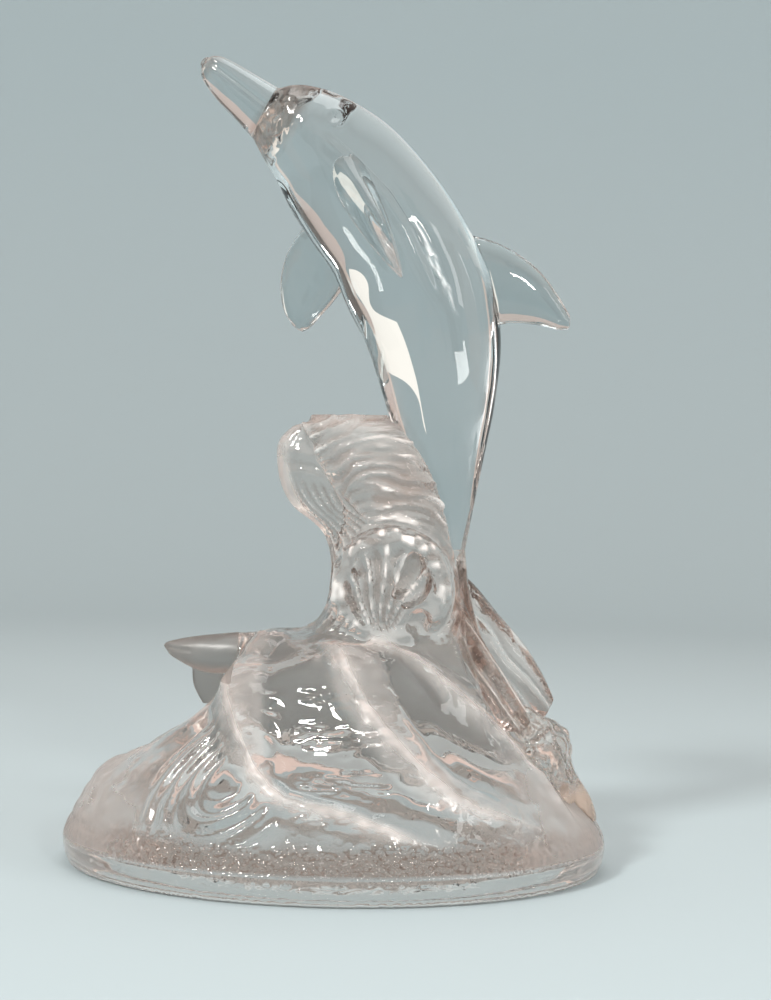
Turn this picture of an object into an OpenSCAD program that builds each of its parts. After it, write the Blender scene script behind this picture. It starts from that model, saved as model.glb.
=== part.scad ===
// Leaping dolphin on a breaking wave, moulded crystal, free-standing on an oval foot.
// Millimetres. Origin at the middle of the underside, +Z up, +X to the dolphin's back side,
// -Y towards the side the figurine is shown from.

/* [Base] */
// width of the oval foot along X
base_w = 119.2; // [90:0.2:150]
// depth of the oval foot along Y
base_d = 97; // [70:0.5:130]
// height of the polished foot band
foot_h = 5.6; // [3:0.1:9]
// height of the frosted shoulder above the foot
rim_h = 4.4; // [2:0.1:8]
// height of the water surface under the column
swell_top = 50.5; // [40:0.5:60]
// how far the sharp wave ridges stand above the swell
ridge_h = 3.2; // [0:0.1:6]
// depth of the ripples on the left swell
ripple_h = 0.7; // [0:0.1:2]

/* [Wave] */
// half depth of the wave column at its waist
column_t = 14; // [8:0.5:20]
// half thickness of the overhanging lip
lip_t = 6.5; // [3:0.5:10]
// radius of the shell-shaped curl on the front of the column
curl_r = 13.5; // [9:0.1:17]
// number of ribs fanning over the curl
curl_ribs = 11; // [5:1:17]

/* [Dolphin] */
// thickness factor of the dolphin's body across Y
body_girth = 1; // [0.7:0.05:1.2]
// thickness factor of all fins and flukes
fin_girth = 1; // [0.6:0.05:1.6]
// diameter of the eye dimple
eye_d = 2.6; // [1:0.1:5]

/* [Detail] */
// points around a lofted section
loft_n = 24; // [16:4:48]
// steps between two stations of a loft
loft_steps = 3; // [1:1:6]

/* [Hidden] */
glass = [0.86, 0.92, 0.94, 0.45];
frost = [0.90, 0.87, 0.85, 0.75];
ax = base_w / 2;
by = base_d / 2;
shoulder_z = foot_h + rim_h;
shoulder_rho = 0.965;
swell_dx = 2;
left_cut = -22;
right_cut = 30;

// ---------- general lofting ----------

// Catmull-Rom value between b and c
function spline(a, b, c, d, t) =
    0.5 * (2 * b + (c - a) * t + (2 * a - 5 * b + 4 * c - d) * t * t
    + (3 * b - a - 3 * c + d) * t * t * t);

function clampi(i, n) = max(0, min(n, i));

// rows refined to `steps` spans each
function refine(rows, steps) = let (n = len(rows) - 1) [
    for (i = [0 : n - 1], s = [0 : steps - 1])
        spline(rows[clampi(i - 1, n)], rows[i], rows[i + 1], rows[clampi(i + 2, n)], s / steps),
    rows[n]
];

function unit(v) = v / max(norm(v), 1e-6);
function head3(r) = [r[0], r[1], r[2]];
function tail3(r) = [r[3], r[4], r[5]];
function middle(r) = (head3(r) + tail3(r)) / 2;

// one oval ring across a station row [first edge xyz, second edge xyz, half thickness]
function ring(rows, i) =
    let (
        n = len(rows) - 1,
        along = middle(rows[clampi(i + 1, n)]) - middle(rows[clampi(i - 1, n)]),
        chord = (tail3(rows[i]) - head3(rows[i])) / 2,
        out = unit(cross(chord, along)) * rows[i][6]
    ) [for (j = [0 : loft_n - 1]) let (f = 360 * j / loft_n)
        middle(rows[i]) + chord * cos(f) + out * sin(f)];

module skin(rings) {
    n = len(rings[0]);
    m = len(rings);
    points = [for (r = rings) each r];
    sides = [for (i = [0 : m - 2], j = [0 : n - 1])
        let (a = i * n + j, b = i * n + (j + 1) % n) each [[a, b, b + n], [a, b + n, a + n]]];
    ends = [[for (j = [n - 1 : -1 : 0]) j], [for (j = [0 : n - 1]) (m - 1) * n + j]];
    polyhedron(points, concat(sides, ends), convexity = 6);
}

// solid through station rows, smoothed along its length
module loft(rows) {
    fine = refine(rows, loft_steps);
    skin([for (i = [0 : len(fine) - 1]) ring(fine, i)]);
}

// a row lying in the middle plane: two edge points (x, z) and a half thickness
function flat_row(x1, z1, x2, z2, t, y = 0) = [x1, y, z1, x2, y, z2, t];

// keeps a carved node as one closed casting
module cast() {
    resize([0, 0, 0]) children();
}

// ---------- water surface ----------

left_side = [[0, swell_top], [0.28, swell_top - 0.3], [0.36, 48], [0.41, 42], [0.46, 37],
    [0.51, 33], [0.62, 27.5], [0.75, 23.5], [0.875, 19.5], [0.94, 14], [shoulder_rho, shoulder_z]];
right_side = [[0, swell_top], [0.3, 46], [0.46, 42], [0.6, 35], [0.7, 27.5], [0.8, 20.5],
    [0.9, 14.5], [shoulder_rho, shoulder_z]];
front_side = [[0, swell_top], [0.3, 48], [0.45, 46.8], [0.52, 45.5], [0.6, 40], [0.7, 32],
    [0.8, 24], [0.88, 17], [shoulder_rho, shoulder_z]];
back_side = [[0, swell_top], [0.2, 50], [0.4, 43], [0.55, 35], [0.7, 27], [0.85, 18],
    [shoulder_rho, shoulder_z]];

// plan lines of the sharp ridges: each point x, y
ridge_lines = [
    [[0, -25], [6.5, -32], [14.8, -35.5], [25, -36.5], [36, -32.5]],
    [[0, -21], [8, -18.6], [15.5, -20.4], [23, -21.6], [37, -18.6], [48, -17.6]],
    [[-22, -12], [-23, -25], [-20, -31.5], [-12.5, -39.7], [2, -43], [14, -43]]
];
ripple_x = -22;
ripple_y = -30;

function span_gap(p, a, b) =
    let (t = max(0, min(1, ((p - a) * (b - a)) / ((b - a) * (b - a))))) norm(p - a - t * (b - a));
function line_gap(p, line) = min([for (i = [0 : len(line) - 2]) span_gap(p, line[i], line[i + 1])]);
function ridge_lift(p) = max([for (line = ridge_lines) max(0, 1 - line_gap(p, line) / 5)]);
function ripple_lift(p) =
    let (r = norm([(p[0] - ripple_x) * 0.8, p[1] - ripple_y]), w = exp(-pow((r - 13) / 9, 2)))
    p[0] < ripple_x + 6 ? w * cos(r * 360 / 6) : 0;

function swell_z(rho, f) =
    let (
        side = lookup(rho, cos(f) < 0 ? left_side : right_side),
        face = lookup(rho, sin(f) < 0 ? front_side : back_side),
        w = cos(f) * cos(f)
    ) side * w + face * (1 - w);

function swell_point(rho, f) =
    let (
        p = [swell_dx * (1 - rho) + rho * ax * cos(f), rho * by * sin(f)],
        fade = max(0, min(1, (shoulder_rho - rho) / 0.06)),
        z = swell_z(rho, f) + fade * (ridge_h * pow(ridge_lift(p), 1.6) + ripple_h * ripple_lift(p))
    ) [p[0], p[1], z];

module swell() {
    turns = 72;
    rings = 22;
    function edge(k) = shoulder_rho * pow(k / rings, 0.8);
    skin([for (k = [rings : -1 : 1])
        [for (j = [0 : turns - 1]) swell_point(edge(k), -360 * j / turns)]]);
}

function oval_ring(z, rho, turns = 72) = [for (j = [0 : turns - 1])
    [rho * ax * cos(360 * j / turns) + swell_dx * (1 - rho), -rho * by * sin(360 * j / turns), z]];

// ---------- base ----------

module base_foot() {
    color(glass) skin([oval_ring(0, 0.972), oval_ring(0.8, 0.984), oval_ring(2.5, 0.994),
        oval_ring(foot_h - 0.6, 1), oval_ring(foot_h, 0.997)]);
}

module base_rim() {
    color(frost) skin([oval_ring(foot_h, 0.997), oval_ring(foot_h + rim_h * 0.25, 0.995),
        oval_ring(foot_h + rim_h * 0.5, 0.989), oval_ring(foot_h + rim_h * 0.8, 0.976),
        oval_ring(shoulder_z, shoulder_rho)]);
}

module between(x1, x2) {
    intersection() {
        children();
        translate([x1, -by, 0]) cube([x2 - x1, base_d, 80]);
    }
}

module swell_left() {
    color(frost) cast() between(-ax, left_cut) swell();
}

module swell_centre() {
    color(glass) cast() between(left_cut, right_cut) swell();
}

module swell_right() {
    color(glass) cast() difference() {
        between(right_cut, ax) swell();
        tail_solid();
    }
}

// lumps of foam where the tail meets the water: x, y, z, radius
foam = [[45.5, -7, 26, 5.4], [48.4, -6, 20.5, 4.8], [46.2, -1, 28, 5.2], [51.2, -4, 15.2, 5],
    [43.4, -12, 23, 4.4], [41, -6, 31, 5.2], [47.6, 5, 22.5, 5.6]];

module foam_crest() {
    color(frost) cast() difference() {
        union() {
            for (l = foam) translate([l[0], l[1], l[2]]) scale([1, 1.15, 0.95]) sphere(r = l[3], $fn = 20);
        }
        swell();
        tail_solid();
    }
}

// ---------- dolphin ----------

// back edge and belly edge of each station, then half thickness
body_rows = [
    flat_row(-16.3, 170.2, -21.7, 158.9, 5.2 * body_girth),
    flat_row(-10.6, 170.9, -19.2, 154.4, 8.2 * body_girth),
    flat_row(-2.4, 168.8, -16.4, 149.9, 10.6 * body_girth),
    flat_row(7.8, 162.9, -12.7, 142.9, 12.4 * body_girth),
    flat_row(15.8, 155.1, -8.2, 136.4, 13.2 * body_girth),
    flat_row(22.6, 146.4, -3.3, 129.6, 13.5 * body_girth),
    flat_row(28.4, 136.6, 0, 122.2, 13.4 * body_girth),
    flat_row(32.5, 126.3, 4.2, 114.3, 12.7 * body_girth),
    flat_row(34.2, 115, 7.3, 106, 11.4 * body_girth),
    flat_row(33.2, 102, 9.8, 98.4, 9.8 * body_girth),
    flat_row(31.5, 92, 12.6, 91, 8 * body_girth),
    flat_row(30, 84, 16, 82.5, 6.2 * body_girth),
    flat_row(28.6, 76, 20, 75, 4.4 * body_girth),
    flat_row(27.4, 69.2, 22.8, 69, 3.1 * body_girth)
];
beak_rows = [
    flat_row(-16.3, 170.2, -21.7, 158.9, 5.2 * body_girth),
    flat_row(-19.6, 172, -25.6, 162.9, 4.7 * body_girth),
    flat_row(-23.4, 174.1, -29.2, 166.5, 4.2 * body_girth),
    flat_row(-27, 176, -32, 169.9, 3.5 * body_girth),
    flat_row(-29.6, 177, -33.5, 172.5, 2.6 * body_girth),
    flat_row(-31.9, 176.6, -33.6, 174.8, 1.1 * body_girth)
];
stock_rows = [
    flat_row(27.4, 69.2, 22.8, 69, 3.1),
    flat_row(28, 64, 22.6, 63, 3.4),
    flat_row(29, 58, 23, 56, 4.2),
    flat_row(31, 51, 24, 48, 5),
    flat_row(34, 44, 26, 41, 5)
];
dorsal_rows = [
    flat_row(16, 140, 24, 117, 3 * fin_girth),
    flat_row(29.5, 138.2, 34.5, 119.2, 2.7 * fin_girth),
    flat_row(36.6, 135.4, 39.6, 119.4, 2.3 * fin_girth),
    flat_row(42.5, 131, 43.6, 119, 1.9 * fin_girth),
    flat_row(46.7, 125.7, 46.8, 118.3, 1.4 * fin_girth),
    flat_row(49.2, 121.6, 48.8, 118.4, 0.8 * fin_girth)
];
// leading edge xyz, trailing edge xyz, half thickness
far_rows = [
    [-8, 6, 144, 4, 6, 130, 2.6 * fin_girth],
    [-11, 12, 141, -1, 12, 127.5, 2.3 * fin_girth],
    [-14.4, 15, 136, -4.4, 15, 123.8, 1.9 * fin_girth],
    [-15.9, 17, 129.5, -7.4, 17, 120.6, 1.6 * fin_girth],
    [-15.2, 18.5, 123.4, -9, 18.5, 119, 1.2 * fin_girth],
    [-13.2, 19, 120, -10.4, 19, 118.4, 0.7 * fin_girth]
];
near_rows = [
    [-3.8, -8, 157.4, 12.2, -8, 126.2, 6.6 * fin_girth],
    [-2.6, -11.5, 154.6, 12, -11.5, 126.9, 5.8 * fin_girth],
    [-0.9, -14, 151.6, 11.8, -14, 127.6, 4.7 * fin_girth],
    [0.9, -16.6, 148.6, 11.4, -16.6, 128.4, 3.5 * fin_girth],
    [3.4, -20.2, 144.6, 10.9, -20.2, 129.4, 2.6 * fin_girth],
    [5.6, -23.8, 140.6, 10.3, -23.8, 130.8, 1.7 * fin_girth],
    [7.4, -26.2, 137, 9.6, -26.2, 132.6, 0.9 * fin_girth]
];
fluke_back_rows = [
    [24, 2, 66, 25, 2, 52, 3 * fin_girth],
    [29.6, 3, 61.5, 27, 3, 44, 3.4 * fin_girth],
    [35.6, 4, 54.6, 31, 3, 38, 3.2 * fin_girth],
    [41.4, 4, 48, 36.5, 3, 34.5, 2.8 * fin_girth],
    [45.6, 3.5, 41.5, 42, 2.5, 32.8, 2.2 * fin_girth],
    [47.9, 3, 36.5, 46, 2, 32.6, 1.2 * fin_girth]
];
fluke_front_rows = [
    [24.6, -2, 64, 23, -2, 58, 2.6 * fin_girth],
    [27.5, -5, 57, 23.6, -6, 50, 2.8 * fin_girth],
    [31.6, -8, 49.5, 26, -10, 42, 2.8 * fin_girth],
    [36.4, -10, 42, 30.4, -13, 35.6, 2.4 * fin_girth],
    [40, -11.5, 36.5, 35.6, -14, 31.4, 1.6 * fin_girth],
    [41.6, -12, 33, 39.6, -13.6, 31, 0.8 * fin_girth]
];

module body_solid() {
    loft(body_rows);
}

module tail_solid() {
    loft(stock_rows);
    loft(fluke_back_rows);
    loft(fluke_front_rows);
}

module dolphin_body() {
    color(glass) cast() difference() {
        body_solid();
        for (s = [-1, 1]) translate([-3.6, s * 10.3, 162.2]) sphere(d = eye_d, $fn = 20);
    }
}

module dolphin_beak() {
    color(glass) loft(beak_rows);
}

module dorsal_fin() {
    color(glass) cast() difference() {
        loft(dorsal_rows);
        body_solid();
    }
}

module pectoral_near() {
    color(glass) cast() difference() {
        loft(near_rows);
        body_solid();
    }
}

module pectoral_far() {
    color(glass) cast() difference() {
        loft(far_rows);
        body_solid();
    }
}

module tail_stock() {
    color(frost) cast() difference() {
        loft(stock_rows);
        body_solid();
    }
}

module fluke_back() {
    color(glass) cast() difference() {
        loft(fluke_back_rows);
        loft(stock_rows);
        body_solid();
    }
}

module fluke_front() {
    color(glass) cast() difference() {
        loft(fluke_front_rows);
        loft(stock_rows);
        loft(fluke_back_rows);
    }
}

// ---------- breaking wave ----------

column_rows = [
    flat_row(-16, 38, 34, 38, column_t + 8),
    flat_row(-8, 48, 31, 48, column_t + 4),
    flat_row(-2.4, 55, 28.5, 55, column_t + 1.5),
    flat_row(-1.2, 62, 26.5, 62, column_t),
    flat_row(0, 70, 24.5, 70, column_t),
    flat_row(1.4, 76, 23, 76, column_t),
    flat_row(-1.6, 83, 21, 83, column_t - 0.6),
    flat_row(-4.8, 89, 17.8, 88.4, column_t - 2.4),
    flat_row(-7.4, 94, 14, 94.5, column_t - 5),
    flat_row(-7.4, 96.6, 9.4, 98.6, column_t - 9)
];
lip_rows = [
    flat_row(-10.6, 95.6, -4, 96.2, lip_t - 2.4, 2),
    flat_row(-14.2, 92, -1, 93, lip_t - 0.6, 2.4),
    flat_row(-14.4, 86, 0, 86.5, lip_t, 3),
    flat_row(-13.1, 81.5, 2, 82, lip_t, 3.2),
    flat_row(-10.6, 77.7, 4, 78, lip_t - 0.4, 3.4),
    flat_row(-6.6, 74.7, 5, 74, lip_t - 0.8, 3.2),
    flat_row(-3.9, 71.6, 6, 70.5, lip_t - 1, 3),
    flat_row(-2.4, 66.4, 7, 65, lip_t - 1, 3),
    flat_row(-2.2, 60, 7, 59, lip_t - 1, 3)
];
head_rows = [
    [-38.7, -1, 46.9, -38.5, -1, 46.2, 0.5],
    [-36.6, -1, 47.7, -36.3, -1, 43.8, 1.9],
    [-32.3, -1, 48.7, -31.8, -1, 41.4, 3.3],
    [-27.6, -1, 49.3, -27.2, -1, 40.4, 4.4],
    [-22, -1, 49.9, -22, -1, 40.6, 5.2],
    [-14, -1, 50.2, -14, -1, 38, 5.6]
];
small_fin_rows = [
    [-32.6, 2.5, 41.4, -25.4, 2.5, 42, 1.3],
    [-32.2, 3, 37.4, -25.8, 3, 38, 1.1],
    [-30.2, 3.4, 33.5, -26.2, 3.4, 34.2, 0.7]
];

module column_solid() {
    loft(column_rows);
}

module head_solid() {
    loft(head_rows);
}

module curl_solid() {
    intersection() {
        translate([11.6, 1 - column_t, 60]) difference() {
            scale([curl_r * 0.93, curl_r * 0.62, curl_r * 1.05]) sphere(r = 1, $fn = 40);
            translate([6.4, -curl_r * 0.62, -5]) scale([4.6, 4.4, 5.4]) sphere(r = 1, $fn = 24);
            curl_grooves();
        }
        translate([-10, -40, 44.5]) cube([50, 40, 40]);
    }
}

module curl_grooves() {
    for (i = [0 : curl_ribs - 1]) let (f = 20 + 250 * i / (curl_ribs - 1))
        translate([5.4, -curl_r * 0.62, -4.6]) rotate([0, -f, 0]) translate([3.4, 0, 0])
            rotate([0, 90, 0]) cylinder(h = 22, r1 = 0.5, r2 = 1.3, $fn = 8);
}

module wave_column() {
    color(glass) cast() difference() {
        column_solid();
        swell();
        body_solid();
        tail_solid();
    }
}

module wave_lip() {
    color(frost) cast() difference() {
        loft(lip_rows);
        column_solid();
    }
}

module wave_curl() {
    color(frost) cast() difference() {
        curl_solid();
        column_solid();
        body_solid();
        tail_solid();
        swell();
    }
}

module small_head() {
    color(frost) cast() difference() {
        head_solid();
        swell();
        for (s = [-1, 1]) translate([-25.7, s * 4.6 - 1, 46]) sphere(r = 0.7, $fn = 12);
    }
}

module small_fin() {
    color(frost) cast() difference() {
        loft(small_fin_rows);
        head_solid();
        swell();
    }
}

base_foot();
base_rim();
swell_left();
swell_centre();
swell_right();
foam_crest();
wave_column();
wave_lip();
wave_curl();
small_head();
small_fin();
tail_stock();
fluke_front();
fluke_back();
dolphin_body();
dolphin_beak();
dorsal_fin();
pectoral_near();
pectoral_far();
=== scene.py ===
import math

import bmesh
import bpy
import numpy as np
import openvdb as vdb
from mathutils import Matrix, Vector


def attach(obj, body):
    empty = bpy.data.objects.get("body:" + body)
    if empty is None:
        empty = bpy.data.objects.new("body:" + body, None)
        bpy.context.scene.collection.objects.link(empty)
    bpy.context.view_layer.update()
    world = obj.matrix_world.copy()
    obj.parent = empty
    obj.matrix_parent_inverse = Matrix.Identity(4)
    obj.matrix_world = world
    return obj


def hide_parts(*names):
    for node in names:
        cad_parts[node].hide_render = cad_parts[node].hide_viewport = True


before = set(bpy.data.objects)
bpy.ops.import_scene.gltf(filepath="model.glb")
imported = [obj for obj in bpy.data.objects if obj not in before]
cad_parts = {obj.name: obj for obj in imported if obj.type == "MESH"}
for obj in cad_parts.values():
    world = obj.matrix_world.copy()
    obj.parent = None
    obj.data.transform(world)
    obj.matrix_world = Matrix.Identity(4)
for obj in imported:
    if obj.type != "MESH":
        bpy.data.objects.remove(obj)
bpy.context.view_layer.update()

# ---------------------------------------- sizes, in millimetres
MM = 0.001
AX, BY = 59.6, 48.5  # half width and half depth of the oval foot
FOOT_H, SHOULDER_H = 5.6, 10.0  # tops of the polished band and of the stippled shoulder
SHOULDER_RHO = 0.965  # where the shoulder starts, as a part of the foot's size
SWELL_DX = 2.0  # how far the top of the swell stands right of the middle
LEFT_CUT, RIGHT_CUT = -22, 30  # planes that part the swell, as in part.scad
# planes close to where its other nodes meet
COLUMN_CUT, HEAD_CUT = 50.7, 40.4  # levels above which the column and the small head start
LIP_CUT, CURL_CUT = -2.6, -13.6  # the lip is left of its plane, and the curl in front of its own
VOXEL = 0.5  # of the grid that the wave is modelled on
GAP = 0.12  # hairline between two separate castings


# ---------------------------------------- small maths
def spline_rows(rows, steps):
    """Catmull-Rom through the station rows, as part.scad does it."""
    r = np.array(rows, float)
    n = len(r) - 1
    out = []
    for i in range(n):
        a, b, c, d = r[max(i - 1, 0)], r[i], r[i + 1], r[min(i + 2, n)]
        for s in range(steps):
            t = s / steps
            curve = 2 * b + (c - a) * t + (2 * a - 5 * b + 4 * c - d) * t**2
            out.append(0.5 * (curve + (3 * b - a - 3 * c + d) * t**3))
    out.append(r[n])
    return np.array(out)


def smoothstep(a, b, x):
    """0 at a, 1 at b, with a soft start and end; b may be the smaller one."""
    t = np.clip((x - a) / (b - a), 0, 1)
    return t * t * (3 - 2 * t)


def hump(d, width):
    """1 where d is 0, and nearly 0 from twice the width on."""
    return np.exp(-((d / width) ** 2))


def smin(a, b, k):
    """The smaller of two distances, with a fillet of about k where they meet."""
    h = np.clip(0.5 + 0.5 * (b - a) / k, 0, 1)
    return b * (1 - h) + a * h - k * h * (1 - h)


def hash3(i, j, k, seed):
    """A repeatable number in -1..1 for each whole-numbered place."""
    h = (i * 374761393 + j * 668265263 + k * 2147483647 + seed * 1274126177) & 0xFFFFFFFF
    h = ((h ^ (h >> 13)) * 1274126177) & 0xFFFFFFFF
    return ((h ^ (h >> 16)) & 0xFFFF) / 32767.5 - 1


def noise(p, size, seed=0):
    """Value noise in -1..1 at points p (n, 3) with cells of the given size."""
    q = p / size
    i = np.floor(q).astype(np.int64)
    f = q - i
    f = f * f * (3 - 2 * f)
    total = 0
    for dx in (0, 1):
        for dy in (0, 1):
            for dz in (0, 1):
                w = (
                    (f[:, 0] if dx else 1 - f[:, 0])
                    * (f[:, 1] if dy else 1 - f[:, 1])
                    * (f[:, 2] if dz else 1 - f[:, 2])
                )
                total = total + w * hash3(i[:, 0] + dx, i[:, 1] + dy, i[:, 2] + dz, seed)
    return total


# ---------------------------------------- station rows
# each row is one end of the section (x, y, z), its other end, and half its thickness
def flat(x1, z1, x2, z2, t, y=0.0):
    return [x1, y, z1, x2, y, z2, t]


BODY = [
    flat(-16.3, 170.2, -21.7, 158.9, 5.2),
    flat(-10.6, 170.9, -19.2, 154.4, 8.2),
    flat(-2.4, 168.8, -16.4, 149.9, 10.6),
    flat(7.8, 162.9, -12.7, 142.9, 12.4),
    flat(15.8, 155.1, -8.2, 136.4, 13.2),
    flat(22.6, 146.4, -3.3, 129.6, 13.5),
    flat(28.4, 136.6, 0.0, 122.2, 13.4),
    flat(32.5, 126.3, 4.2, 114.3, 12.7),
    flat(34.2, 115.0, 7.3, 106.0, 11.4),
    flat(33.2, 102.0, 9.8, 98.4, 9.8),
    flat(31.5, 92.0, 12.6, 91.0, 8.0),
    flat(30.0, 84.0, 16.0, 82.5, 6.2),
    flat(28.6, 76.0, 20.0, 75.0, 4.4),
    flat(27.4, 69.2, 22.8, 69.0, 3.1),
]
BEAK = [
    flat(-16.3, 170.2, -21.7, 158.9, 5.2),
    flat(-19.6, 172.0, -25.6, 162.9, 4.7),
    flat(-23.4, 174.1, -29.2, 166.5, 4.2),
    flat(-27.0, 176.0, -32.0, 169.9, 3.5),
    flat(-29.6, 177.0, -33.5, 172.5, 2.6),
    flat(-31.9, 176.6, -33.6, 174.8, 1.1),
]
STOCK = [
    flat(27.4, 69.2, 22.8, 69.0, 3.1),
    flat(28.0, 64.0, 22.6, 63.0, 3.4),
    flat(29.0, 58.0, 23.0, 56.0, 4.2),
    flat(31.0, 51.0, 24.0, 48.0, 5.0),
    flat(34.0, 44.0, 26.0, 41.0, 5.0),
]
DORSAL = [
    flat(16.0, 140.0, 24.0, 117.0, 3.0),
    flat(29.5, 138.2, 34.5, 119.2, 2.7),
    flat(36.6, 135.4, 39.6, 119.4, 2.3),
    flat(42.5, 131.0, 43.6, 119.0, 1.9),
    flat(46.7, 125.7, 46.8, 118.3, 1.4),
    flat(49.2, 121.6, 48.8, 118.4, 0.8),
]
FAR_FIN = [
    [-8.0, 6.0, 144.0, 4.0, 6.0, 130.0, 2.6],
    [-11.0, 12.0, 141.0, -1.0, 12.0, 127.5, 2.3],
    [-14.4, 15.0, 136.0, -4.4, 15.0, 123.8, 1.9],
    [-15.9, 17.0, 129.5, -7.4, 17.0, 120.6, 1.6],
    [-15.2, 18.5, 123.4, -9.0, 18.5, 119.0, 1.2],
    [-13.2, 19.0, 120.0, -10.4, 19.0, 118.4, 0.7],
]
NEAR_FIN = [
    [-3.8, -8.0, 157.4, 12.2, -8.0, 126.2, 7.0],
    [-2.6, -11.5, 154.6, 12.0, -11.5, 126.9, 6.2],
    [-0.9, -14.0, 151.6, 11.8, -14.0, 127.6, 4.7],
    [0.9, -16.6, 148.6, 11.4, -16.6, 128.4, 3.5],
    [3.4, -20.2, 144.6, 10.9, -20.2, 129.4, 2.6],
    [5.6, -23.8, 140.6, 10.3, -23.8, 130.8, 1.7],
    [7.4, -26.2, 137.0, 9.6, -26.2, 132.6, 0.9],
]
FLUKE_BACK = [
    [24.0, 2.0, 66.0, 25.0, 2.0, 52.0, 3.0],
    [29.6, 3.0, 61.5, 27.0, 3.0, 44.0, 3.4],
    [35.6, 4.0, 54.6, 31.0, 3.0, 38.0, 3.2],
    [41.4, 4.0, 48.0, 36.5, 3.0, 34.5, 2.8],
    [45.6, 3.5, 41.5, 42.0, 2.5, 32.8, 2.2],
    [47.9, 3.0, 36.5, 46.0, 2.0, 32.6, 1.2],
]
FLUKE_FRONT = [
    [24.6, -2.0, 64.0, 23.0, -2.0, 58.0, 2.6],
    [27.5, -5.0, 57.0, 23.6, -6.0, 50.0, 2.8],
    [31.6, -8.0, 49.5, 26.0, -10.0, 42.0, 2.8],
    [36.4, -10.0, 42.0, 30.4, -13.0, 35.6, 2.4],
    [40.0, -11.5, 36.5, 35.6, -14.0, 31.4, 1.6],
    [41.6, -12.0, 33.0, 39.6, -13.6, 31.0, 0.8],
]
HEAD = [
    [-38.7, -1.0, 46.9, -38.5, -1.0, 46.2, 0.5],
    [-36.6, -1.0, 47.7, -36.3, -1.0, 43.8, 1.9],
    [-32.3, -1.0, 48.7, -31.8, -1.0, 41.4, 3.3],
    [-27.6, -1.0, 49.3, -27.2, -1.0, 40.4, 4.4],
    [-22.0, -1.0, 49.9, -22.0, -1.0, 40.6, 5.2],
    [-14.0, -1.0, 50.2, -14.0, -1.0, 38.0, 5.6],
]
SMALL_FIN = [
    [-32.6, 2.5, 41.4, -25.4, 2.5, 42.0, 1.3],
    [-32.2, 3.0, 37.4, -25.8, 3.0, 38.0, 1.1],
    [-30.2, 3.4, 33.5, -26.2, 3.4, 34.2, 0.7],
]
# level, left edge, right edge, front, back
COLUMN = np.array([
    [36.0, -18.0, 35.0, -24.0, 23.0],
    [44.0, -12.0, 32.0, -20.0, 19.0],
    [50.0, -6.5, 30.0, -16.5, 16.0],
    [55.0, -3.0, 28.5, -14.5, 14.0],
    [62.0, -1.4, 26.5, -13.0, 13.0],
    [70.0, -0.4, 24.5, -13.0, 13.0],
    [76.0, 1.0, 23.0, -13.4, 13.0],
    [83.0, -2.0, 21.0, -13.0, 12.0],
    [89.0, -5.0, 18.4, -11.4, 10.5],
    [94.0, -7.6, 15.0, -9.0, 8.5],
    [96.6, -8.0, 12.0, -6.0, 6.5],
    [98.4, -7.4, 9.5, -3.0, 4.0],
])
LIP = np.array([
    [50.0, -8.0, 8.0, -4.0, 9.0],
    [54.6, -3.6, 8.0, -4.0, 9.0],
    [60.0, -2.1, 7.0, -3.0, 9.0],
    [66.4, -2.3, 7.0, -2.6, 8.6],
    [71.6, -3.9, 6.0, -2.4, 8.6],
    [74.7, -6.6, 5.0, -2.8, 9.2],
    [77.7, -10.6, 4.0, -3.2, 9.6],
    [81.5, -13.1, 2.0, -3.6, 9.8],
    [86.0, -14.4, 0.0, -3.8, 9.6],
    [92.0, -14.4, -1.0, -3.4, 8.2],
    [95.8, -11.0, 0.0, -2.0, 6.4],
])
# the swell's height at parts of the way from the middle to the edge, on its four sides
LEFT_SIDE = [
    (0, 50.5), (0.28, 50.2), (0.36, 48), (0.41, 42), (0.46, 37), (0.51, 33), (0.62, 27.5),
    (0.75, 23.5), (0.875, 19.5), (0.94, 14), (0.965, 10),
]
RIGHT_SIDE = [
    (0, 50.5), (0.3, 46), (0.46, 42), (0.6, 35), (0.7, 27.5), (0.8, 20.5), (0.9, 14.5), (0.965, 10),
]
FRONT_SIDE = [
    (0, 50.5), (0.3, 48), (0.45, 46.8), (0.52, 45.5), (0.6, 40), (0.7, 32), (0.8, 24), (0.88, 17),
    (0.965, 10),
]
BACK_SIDE = [(0, 50.5), (0.2, 50), (0.4, 43), (0.55, 35), (0.7, 27), (0.85, 18), (0.965, 10)]
# level, and the foot's outline there as a part of its full size
FOOT_PROFILE = [
    (0, 0.972), (0.8, 0.984), (2.5, 0.994), (5.0, 1.0), (5.6, 0.999), (6.7, 0.995), (7.8, 0.989),
    (9.1, 0.976), (10, 0.965),
]
# plan lines of the ridges: x, y, height, reach to the left of the line, reach to its right
TOP_CREST = [
    (-4, -23, 0.6, 3, 3), (0, -21, 1.6, 4, 3), (8, -18.6, 2.2, 5, 3), (15.5, -20.4, 2.8, 5, 3),
    (23, -21.6, 3.0, 5, 3.4), (30, -20.8, 3.0, 5, 3.4), (37, -18.6, 2.6, 5, 3.2),
    (44, -17.2, 1.8, 4, 3), (50, -18.6, 0.8, 4, 3),
]
TONGUE = [
    (-1.4, -22.5, 2.2, 10, 2.2), (0.2, -25.6, 4.0, 10.5, 2.4), (2.6, -29.2, 4.6, 9.8, 2.6),
    (6.5, -33, 4.6, 8.8, 2.6), (10.7, -35.1, 4.4, 7.6, 2.6), (14.8, -36.4, 4.0, 6.4, 2.6),
    (19.5, -37.2, 3.4, 5.4, 2.6), (25, -37.2, 2.8, 4.6, 2.6), (30.1, -35.9, 2.2, 4.2, 2.6),
    (36.4, -33, 1.4, 4, 2.6), (43, -29, 0.4, 4, 2.6),
]
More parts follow.
